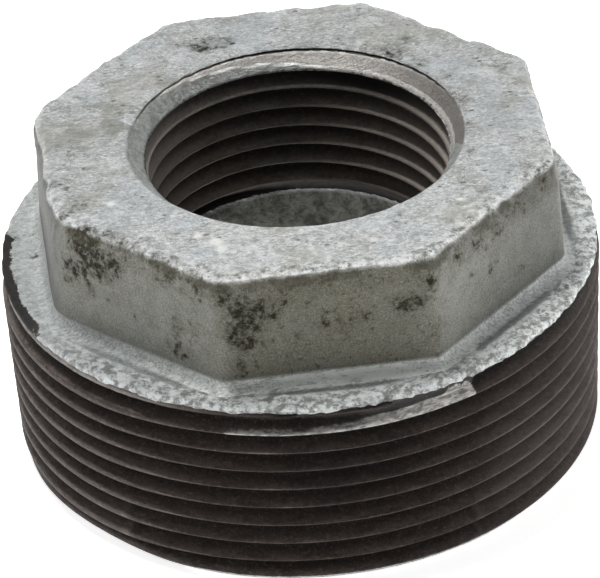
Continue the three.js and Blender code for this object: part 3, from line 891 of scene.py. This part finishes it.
def step(value, start, end, low=0.0, high=1.0):
    """Eases from low at start to high at end."""
    return field("ShaderNodeMapRange", {"Value": value, "From Min": start, "From Max": end,
                                        "To Min": low, "To Max": high},
                 interpolation_type="SMOOTHSTEP")


def attr(name):
    return field("ShaderNodeAttribute", {}, "Fac", attribute_name=name)


def placed(stretch=(1, 1, 1), shift=(0, 0, 0), turn=0.0):
    """Millimetre coordinates scaled, moved and turned (degrees) about z."""
    return field("ShaderNodeMapping", {"Vector": position, "Location": shift, "Scale": stretch,
                                       "Rotation": (0, 0, math.radians(turn))})


def noise(scale, detail=3.0, rough=0.55, distort=0.0, **placing):
    """Noise texture; scale is in cells per millimetre."""
    return field("ShaderNodeTexNoise",
                 {"Vector": placed(**placing) if placing else position, "Scale": scale,
                  "Detail": detail, "Roughness": rough, "Distortion": distort}, "Fac")


def centred(value, gain):
    return (value - 0.5) * gain


def lerp(factor, at_zero, at_one):
    return field("ShaderNodeMix", {"Factor": factor, 2: at_zero, 3: at_one}, data_type="FLOAT")


def mix(factor, below, above, blend="MIX"):
    return field("ShaderNodeMix", {"Factor": factor, 6: below, 7: above}, 2,
                 data_type="RGBA", blend_type=blend)


def multiply(below, factor, colour):
    return mix(factor, below, colour, "MULTIPLY")


def grey(value):
    return (value, value, value, 1)


def rgb(colour):
    """sRGB 0-255 to linear."""
    linear = []
    for channel in colour:
        channel /= 255.0
        linear.append(channel / 12.92 if channel <= 0.04045
                      else ((channel + 0.055) / 1.055) ** 2.4)
    return (*linear, 1.0)


def paint(below, factor, colour):
    """Lay a colour (a Field or sRGB 0-255) over another."""
    return mix(factor, below, colour if isinstance(colour, Field) else rgb(colour))


def tones(value, start, end, first, second):
    """Two sRGB colours, going from the first at start to the second at end."""
    return mix(step(value, start, end), rgb(first), rgb(second))


def layers(below, *rows, within=None):
    """Lay colours one by one: field, none at, full at, strength, sRGB colour."""
    for value, none_at, full_at, strength, colour in rows:
        if within is None:
            factor = step(value, none_at, full_at) * strength
        else:
            factor = within * step(value, none_at, full_at, high=strength)
        below = paint(below, factor, colour)
    return below


# ----------------------------------------------------- material: shared fields
iron_material = bpy.data.materials.new("galvanized_iron")
open_tree(iron_material)
object_place = field("ShaderNodeTexCoord", {}, "Object")
position = field("ShaderNodeVectorMath", {0: object_place, "Scale": 1000.0}, operation="SCALE")
normal = field("ShaderNodeNewGeometry", {}, "Normal")
normal_z = field("ShaderNodeSeparateXYZ", {0: normal}, "Z")

fine = noise(scale=3.4, detail=4, rough=0.66)
medium = noise(scale=0.85, detail=4, rough=0.62, distort=0.4)
broad = noise(scale=0.14, detail=3, rough=0.55, distort=0.3)
streak = noise(scale=1.5, detail=5, rough=0.72, distort=1.1, stretch=(0.72, 1.7, 1.3), turn=8)
thin_streak = noise(scale=2.6, detail=4, rough=0.70, distort=0.6,
                    stretch=(0.9, 1.8, 1.4), turn=-9)
grain = noise(scale=6.5, detail=3, rough=0.7)
long_grain = noise(scale=3.6, detail=4, rough=0.72, distort=0.4,
                   shift=(40, 9, 3), stretch=(0.8, 1.5, 1.3))
mottle = noise(scale=0.36, detail=5, rough=0.62, distort=0.8,
               shift=(7, 3, 1), stretch=(0.8, 1.2, 1.0))

# ---------------------------------------------------------- material: zinc skin
dull = attr("dull")
zinc = layers(
    tones(streak, 0.34, 0.66, (132, 134, 131), (202, 204, 202)),
    (thin_streak, 0.44, 0.68, 0.55, (212, 214, 214)),
    (long_grain, 0.53, 0.64, 0.80, (240, 241, 240)),
    (long_grain, 0.46, 0.35, 0.68, (104, 106, 100)),
    (grain, 0.40, 0.66, 0.25, (226, 228, 228)),
    (medium, 0.58, 0.72, 0.55, (126, 128, 118)),
    (broad, 0.50, 0.64, 0.40, (160, 157, 144)),         # warm stain
    (broad, 0.47, 0.36, 0.26, (168, 179, 184)),         # blue patches
    (mottle + dull * 0.07, 0.53, 0.70, lerp(dull, 0.26, 0.58), (130, 131, 123)),
    (mottle, 0.47, 0.36, 0.30, (226, 229, 229)))
# painted light: the head's coat is painted lighter towards the front, with painted near-white
# sparkle grains there
zinc = multiply(zinc, 1.0, mix(attr("front_light"), (1.12, 1.12, 1.14, 1), (1.28, 1.28, 1.30, 1)))
granules = noise(scale=0.95, detail=5, rough=0.72)
zinc = layers(
    zinc,
    (granules, 0.52, 0.62, 0.5, (252, 253, 253)),
    (granules, 0.46, 0.36, 0.30, (132, 133, 126)), within=attr("front_light"))
# painted highlight along the front top edge, broken by light and dark grains
zinc = layers(
    zinc,
    (granules, 0.46, 0.58, 0.85, (246, 247, 247)),
    (granules, 0.47, 0.38, 0.75, (112, 111, 101)),
    (fine, 0.44, 0.34, 0.6, (118, 116, 104)), within=attr("edge_highlight"))
zinc = layers(zinc, (attr("glint"), 0.15, 0.8, 0.9, (255, 255, 252)))
# fine pits and specks
cells = field("ShaderNodeTexVoronoi", {"Vector": placed(stretch=(0.75, 1.2, 1.0)), "Scale": 0.80},
              "Distance")
pits = step(cells + centred(fine, 0.22), 0.20, 0.11) * step(noise(scale=0.45), 0.46, 0.60)
zinc = paint(zinc, pits * 0.70, (76, 73, 60))
zinc = layers(zinc, (noise(scale=2.6, detail=3, rough=0.6), 0.66, 0.76, 0.50, (96, 93, 82)))
# lower down the coat is heavier and cleaner
low = attr("low")
low_zinc = layers(
    tones(streak, 0.36, 0.64, (170, 174, 172), (214, 217, 215)),
    (long_grain, 0.53, 0.66, 0.60, (236, 238, 238)),
    (long_grain, 0.46, 0.33, 0.45, (128, 131, 126)),
    (medium, 0.56, 0.72, 0.5, (146, 149, 142)))
# painted shade: the lower coat is darker on the left
zinc = mix(low, zinc, multiply(low_zinc, attr("left_side_shade"), (0.74, 0.75, 0.77, 1)))
fillet = attr("fil")
zinc = layers(
    zinc,
    (thin_streak, 0.44, 0.62, 0.45, (236, 238, 235)),
    (thin_streak, 0.46, 0.32, 0.45, (134, 137, 133)), within=fillet)
# painted light: the front fillet is painted about twice as light
zinc = multiply(zinc, attr("front_fillet_light"), (2.05, 2.05, 1.98, 1))
fillet_bands = noise(scale=1.3, detail=5, rough=0.7, distort=0.3, stretch=(0.4, 2.0, 3.0))
zinc = layers(zinc, (fillet_bands, 0.50, 0.38, 0.6, (128, 132, 129)), within=attr("front_fillet_light"))
zinc = multiply(zinc, fillet * attr("left_side_shade"), grey(0.84))
# painted light: the right side of the lower coat is lighter
zinc = multiply(zinc, attr("right_side_light"), grey(1.45))

# ------------------------- material: flats, smoother grey; the front one browner
olive = attr("olive")
flats = tones(noise(scale=0.5, detail=4, rough=0.6), 0.36, 0.66, (126, 127, 120), (110, 110, 101))
olive_cloud = step(noise(scale=0.42, detail=3, rough=0.6), 0.32, 0.60, low=0.45)
flats = layers(
    paint(flats, olive * olive_cloud, (111, 107, 90)),
    (fine, 0.36, 0.66, 0.35, (146, 146, 139)),
    (grain, 0.50, 0.64, 0.50, (166, 166, 160)),
    (grain, 0.46, 0.34, 0.55, (74, 73, 64)),
    (long_grain, 0.60, 0.70, 0.35, (86, 83, 70)))
on_flat = calc("MULTIPLY", attr("flatmask"), step(normal_z, 0.66, 0.36), clamp=True)
flats = multiply(flats, 1.0, mix(olive, grey(0.95), (0.78, 0.78, 0.76, 1)))
# painted light across the front-right flat
flats = multiply(flats, 1.0, 1.0 + attr("flat_light_gradient"))
# painted shade: the left flat is painted darker
flats = paint(flats, attr("left_flat_shade") * 0.80, (74, 76, 74))
coat = mix(on_flat, zinc, flats)

# ----------------- material: blue grey trough of the shoulder and granular rim
valley = attr("valley")
# painted shade: the trough is painted darker, standing for the shade in the hollow
coat = paint(coat, step(valley + centred(medium, 1.1), 0.20, 0.85) * 0.85,
             tones(long_grain, 0.4, 0.62, (92, 97, 97), (134, 139, 139)))
rim = attr("rimmask")
rim_grains = noise(scale=1.25, detail=6, rough=0.74)
rim_colour = layers(
    tones(rim_grains, 0.40, 0.58, (112, 114, 109), (230, 233, 234)),
    (rim_grains, 0.40, 0.30, 0.5, (84, 84, 76)))
# painted light on the rim's right side as well
coat = paint(coat, rim * 0.78, multiply(rim_colour, attr("right_side_light"), grey(1.28)))

# ------------------------------------------------------------- material: grime
grime = attr("grime")
breakup = (centred(noise(scale=1.15, detail=6, rough=0.70, distort=0.15), 3.4)
           + centred(noise(scale=3.6, detail=4, rough=0.72, distort=0.3), 1.1))
soiling = calc("MINIMUM", grime, 1.0) * 0.85 + breakup
soiled = step(soiling, 0.46, 1.12) * step(grime, 0.04, 0.35)
halo = step(soiling, -0.15, 0.85) * step(grime, 0.02, 0.5)
coat = paint(coat, halo * 0.55, (82, 79, 62))
freckles = (step(noise(scale=1.5, detail=4, rough=0.68), 0.57, 0.66)
            * (olive * 0.75 + on_flat * 0.10))
coat = paint(coat, freckles * on_flat, (62, 58, 44))
coat = paint(coat, soiled * 0.95, tones(fine, 0.35, 0.65, (24, 21, 14), (46, 42, 30)))
# ragged olive band under the top edge
edge_grime = attr("edgegrime")
edge_band = step(edge_grime + breakup * 0.50, 0.24, 1.05) * step(edge_grime, 0.04, 0.4)
coat = paint(coat, edge_band * 0.86, tones(fine, 0.35, 0.65, (54, 51, 39), (82, 79, 63)))
# hair cracks where the dirt sits
crack_noise = noise(scale=0.62, detail=4, rough=0.55, distort=1.2)
cracks = step(calc("ABSOLUTE", crack_noise - 0.5), 0.014, 0.005)
cracks = cracks * step(grime + edge_grime, 0.10, 0.45)
coat = paint(coat, cracks * on_flat * 0.55, (50, 47, 38))

# -------------------------------- material: lead-in cone and cast wall inside
coat = paint(coat, attr("cone") * 0.85, tones(noise(scale=1.3, detail=5, rough=0.7),
                                              0.36, 0.64, (126, 129, 125), (168, 171, 168)))
coat = paint(coat, attr("castwall"), tones(noise(scale=0.8, detail=6, rough=0.72, distort=0.5),
                                           0.34, 0.66, (60, 61, 55), (132, 133, 124)))

# ------------------------------------------ material: bare iron of the threads
depth = attr("depth")
ragged = noise(scale=1.7, detail=5, rough=0.75) - 0.5
bare_mask = step(attr("bare") + ragged * 0.62, -0.03, 0.05)
turning = noise(scale=1.2, detail=4, rough=0.60, distort=0.3, stretch=(0.28, 0.28, 1.5))
# 1 on the crests, 0 in the roots
crestward = calc("POWER", step(depth + centred(turning, 0.35), 1.02, 0.02), 1.4)
crest = step(depth, 0.09, 0.02)
speckle = noise(scale=2.3, detail=4, rough=0.75, distort=0.2,
                shift=(3, 8, 2), stretch=(0.9, 0.9, 1.3))
worn = step(depth, 0.10, 0.0) * step(
    noise(scale=0.8, detail=3, rough=0.6, stretch=(0.3, 0.3, 0.3)), 0.30, 0.70, 0.25, 0.9)

# painted shade: the iron is painted darkest in the thread roots and lighter towards the crests
iron = layers(
    mix(crestward, tones(turning, 0.32, 0.68, (29, 23, 21), (39, 32, 29)),
        tones(turning, 0.32, 0.68, (70, 60, 56), (101, 90, 84))),
    (grain, 0.50, 0.70, 0.38, (104, 97, 92)),
    (grain, 0.48, 0.32, 0.42, (26, 22, 21)),
    (speckle, 0.54, 0.66, lerp(crestward, 0.25, 0.55), (118, 110, 104)),
    (speckle, 0.46, 0.34, 0.55, (28, 23, 21)))
iron = paint(iron, crest * step(speckle, 0.40, 0.62, low=0.95, high=0.45),
             tones(turning, 0.32, 0.68, (34, 28, 26), (58, 49, 45)))
iron = paint(iron, worn * 0.14, (112, 105, 99))

# painted shade in the inner thread's roots too, lighter towards the crests
bore_iron = layers(
    mix(crestward, rgb((58, 51, 48)),
        tones(turning, 0.32, 0.68, (110, 102, 96), (148, 139, 131))),
    (grain, 0.50, 0.70, 0.35, (112, 105, 100)),
    (speckle, 0.52, 0.66, lerp(crestward, 0.2, 0.45), (158, 148, 140)),
    (speckle, 0.47, 0.34, 0.55, (44, 38, 35)))
for factor, colour in (
        (crest * 0.60, (98, 90, 84)),
        (worn * 0.12, (126, 118, 112)),
        # painted light on the bore's side walls
        (attr("bore_side_light") * lerp(crestward, 0.35, 0.9) * 0.85, (152, 145, 138)),
        (attr("increst") * step(depth, 0.20, 0.02) * 0.60, (62, 55, 51)),
        # painted shade at the lower end of the bore
        (attr("indark") * 0.88, (26, 22, 20))):
    bore_iron = paint(bore_iron, factor, colour)
iron = mix(attr("inside"), iron, bore_iron)

# painted light and shade with lighter and darker worn parts, the flat land and the torn turn
tone_and_light_mask = attr("tone_and_light")
tone_streak = noise(scale=1.5, detail=4, rough=0.7, distort=0.3, stretch=(0.35, 0.35, 2.4))
# painted light over the right side, with lighter worn streaks
lighter = step(tone_and_light_mask, 0.0, 0.9) * step(tone_streak, 0.28, 0.66, low=0.35)
iron = paint(iron, lighter * lerp(crestward, 0.35, 1.0), (120, 112, 106))
# painted shade on the front and in the groove under the zinc edge, and a darker bare rim on the left
iron = paint(iron, step(tone_and_light_mask, 0.0, -0.6), (20, 17, 16))
land_cloud = step(noise(scale=1.4, detail=4, rough=0.7), 0.35, 0.6, low=0.3, high=0.9)
iron = paint(iron, attr("land") * land_cloud, (134, 130, 126))
torn = attr("torn")
torn_mask = step(torn + ragged * 1.5, 0.20, 0.54) * step(torn, 0.05, 0.45)
torn_noise = noise(scale=1.7, detail=4, rough=0.7, distort=0.5, stretch=(0.6, 0.6, 1.6))
iron = paint(iron, torn_mask, tones(torn_noise, 0.36, 0.64, (102, 99, 96), (178, 175, 171)))

colour = mix(bare_mask, coat, iron)

# ------------------- material: scraped cone, painted highlight on its ridge and painted shadow at the step
scraped = step(attr("scraped") + ragged * 0.5, 0.42, 0.58)
scraped_colour = paint(tones(fine, 0.3, 0.7, (144, 140, 136), (184, 180, 176)),
                       attr("scrdark") * 0.85,
                       tones(long_grain, 0.36, 0.62, (80, 76, 72), (116, 111, 106)))
colour = paint(colour, scraped * (1.0 - bare_mask * 0.95) * 0.92, scraped_colour)
# painted highlight along the ridge, near white
colour = paint(colour, step(attr("ridge") + ragged * 0.5, 0.35, 0.6, high=0.9), (232, 232, 230))
# painted highlight: a light band on the lower cone, where the ridge's highlight runs on
low_cone_lit = mix(bare_mask, tones(fine, 0.3, 0.7, (160, 156, 151), (204, 201, 197)), colour)
colour = mix(step(attr("low_cone_highlight") + ragged * 1.0, 0.35, 0.62, high=0.8), colour, low_cone_lit)
# painted shadow under the step, near black
step_shadow_mask = step(attr("step_shadow") + centred(fine, 0.7), 0.40, 0.62)
colour = paint(colour, step_shadow_mask * 0.90, (34, 30, 28))
sparkle_noise = noise(scale=2.2, detail=4, rough=0.75)
colour = layers(
    colour,
    (sparkle_noise, 0.56, 0.64, 0.9, (70, 66, 56)),
    (sparkle_noise, 0.40, 0.34, 0.9, (226, 230, 230)), within=attr("sparkle"))

# ------------------------------------------------- material: surface and relief
roughness = (lerp(bare_mask, lerp(on_flat, 0.46, 0.58), lerp(crest, 0.56, 0.72))
             + centred(medium, 0.30) + centred(long_grain, 0.35))
roughness = lerp(valley * 0.8, roughness, 0.40)
roughness = lerp(soiled, roughness, 0.78)
metallic = lerp(bare_mask, lerp(on_flat, 0.42, 0.22), 0.08)
metallic = lerp(soiled, metallic, 0.05)
specular = lerp(bare_mask, lerp(soiled, 0.5, 0.12), 0.30)

# heights in mm
coat_relief = (centred(streak, 0.36)
               + (centred(fine, 0.17) + centred(long_grain, 0.34) + centred(mottle, 0.85))
               + pits * -0.10)
coat_relief = coat_relief * lerp(on_flat, 1.0, 0.34)
coat_relief = coat_relief * lerp(low * (1.0 - rim), 1.0, 0.55)
coat_relief = coat_relief + (rim_grains - 0.5) * rim * 0.34
coat_relief = coat_relief * lerp(scraped, 1.0, 0.22)
iron_noise = noise(scale=2.0, detail=4, rough=0.6, stretch=(0.5, 0.5, 1.3))
iron_relief = (centred(iron_noise, 0.035) + centred(speckle, 0.12)
               + ragged * torn_mask * 0.14)
relief = lerp(bare_mask, coat_relief, iron_relief) - soiled * 0.03
bump = field("ShaderNodeBump", {"Strength": 1.0, "Distance": MM, "Height": relief})

shader = field("ShaderNodeBsdfPrincipled", {
    "Base Color": colour, "Roughness": roughness, "Metallic": metallic,
    "Specular IOR Level": specular, "Normal": bump})
add_node("ShaderNodeOutputMaterial", {"Surface": shader})

casting = bpy.data.objects.new("bushing_casting", mesh)
bpy.context.scene.collection.objects.link(casting)
mesh.materials.append(iron_material)
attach(casting, "root")
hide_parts("bushing_body")

# ---------------------------------------------------------------------- floor
FLOOR_HALF = 2.5        # metres
floor_mesh = bpy.data.meshes.new("floor")
floor_mesh.from_pydata(
    [(sx * FLOOR_HALF, sy * FLOOR_HALF, BASE_Z * MM)
     for sx, sy in ((-1, -1), (1, -1), (1, 1), (-1, 1))], [], [(0, 1, 2, 3)])
floor = bpy.data.objects.new("floor", floor_mesh)
bpy.context.scene.collection.objects.link(floor)
paper = bpy.data.materials.new("floor_paper")
open_tree(paper)
shader = field("ShaderNodeBsdfPrincipled", {
    "Base Color": grey(0.90), "Roughness": 0.9, "Specular IOR Level": 0.1,
    "Emission Color": grey(1), "Emission Strength": 0.80})
add_node("ShaderNodeOutputMaterial", {"Surface": shader})
floor_mesh.materials.append(paper)

# ------------------------------------------------------------ world and lights
scene = bpy.context.scene
scene.view_settings.view_transform = "Standard"
scene.view_settings.look = "None"
scene.view_settings.exposure = 0.0
scene.view_settings.gamma = 1.0

# brighter towards the back, dimmer on the left
world = bpy.data.worlds.new("studio")
scene.world = world
open_tree(world)
direction = add_node("ShaderNodeSeparateXYZ",
                     {0: field("ShaderNodeTexCoord", {}, "Generated")}).outputs
strength = (step(Field(direction["Y"]), -0.7, 0.7, low=0.15, high=0.46)
            * step(Field(direction["X"]), -0.9, 0.3, low=0.55, high=1.0))
sky = field("ShaderNodeBackground", {"Color": (0.97, 0.985, 1.0, 1), "Strength": strength})
add_node("ShaderNodeOutputWorld", {"Surface": sky})

# Area lights, in metres: name, place, height aimed at on the axis, size, watts, colour
LIGHTS = (
    ("key_top", (-0.075, 0.085, 0.56), 0.02, 0.15, 4.2, (1.0, 0.997, 0.985)),
    ("fill_left", (-0.55, -0.10, 0.25), 0.015, 0.35, 0.12, (1, 1, 1)),
    ("fill_right", (0.60, 0.16, 0.12), 0.015, 0.35, 0.65, (1, 1, 1)),
)
for name, place, aim_z, size, power, light_colour in LIGHTS:
    light = bpy.data.lights.new(name, "AREA")
    light.energy = power
    light.size = size
    light.color = light_colour
    lamp = bpy.data.objects.new(name, light)
    lamp.location = place
    aim = Vector((0, 0, aim_z)) - Vector(place)
    lamp.rotation_euler = aim.to_track_quat("-Z", "Y").to_euler()
    scene.collection.objects.link(lamp)

# --------------------------------------------------------------------- camera
ELEVATION, ROLL, CAMERA_AZIMUTH = map(math.radians, (33.8281, -3.7698, -95.0))
DISTANCE = 497.4379             # mm from the target
TARGET_SIDE, TARGET_Z = -0.2107, 14.9207
back = Vector((math.cos(ELEVATION) * math.cos(CAMERA_AZIMUTH),
               math.cos(ELEVATION) * math.sin(CAMERA_AZIMUTH), math.sin(ELEVATION)))
level = Vector((-math.sin(CAMERA_AZIMUTH), math.cos(CAMERA_AZIMUTH), 0))
upright = level.cross(-back)
right = math.cos(ROLL) * level + math.sin(ROLL) * upright
up = -math.sin(ROLL) * level + math.cos(ROLL) * upright
target = level * TARGET_SIDE + Vector((0, 0, TARGET_Z))
eye = (target + back * DISTANCE) * MM

camera = bpy.data.cameras.new("camera")
camera.sensor_fit = "HORIZONTAL"
camera.sensor_width = 36.0
camera.lens = 293.33838
camera.clip_start = 0.01
camera.clip_end = 10
camera_object = bpy.data.objects.new("camera", camera)
scene.collection.objects.link(camera_object)
camera_object.matrix_world = Matrix((
    (right.x, up.x, back.x, eye.x),
    (right.y, up.y, back.y, eye.y),
    (right.z, up.z, back.z, eye.z),
    (0, 0, 0, 1)))
scene.camera = camera_object
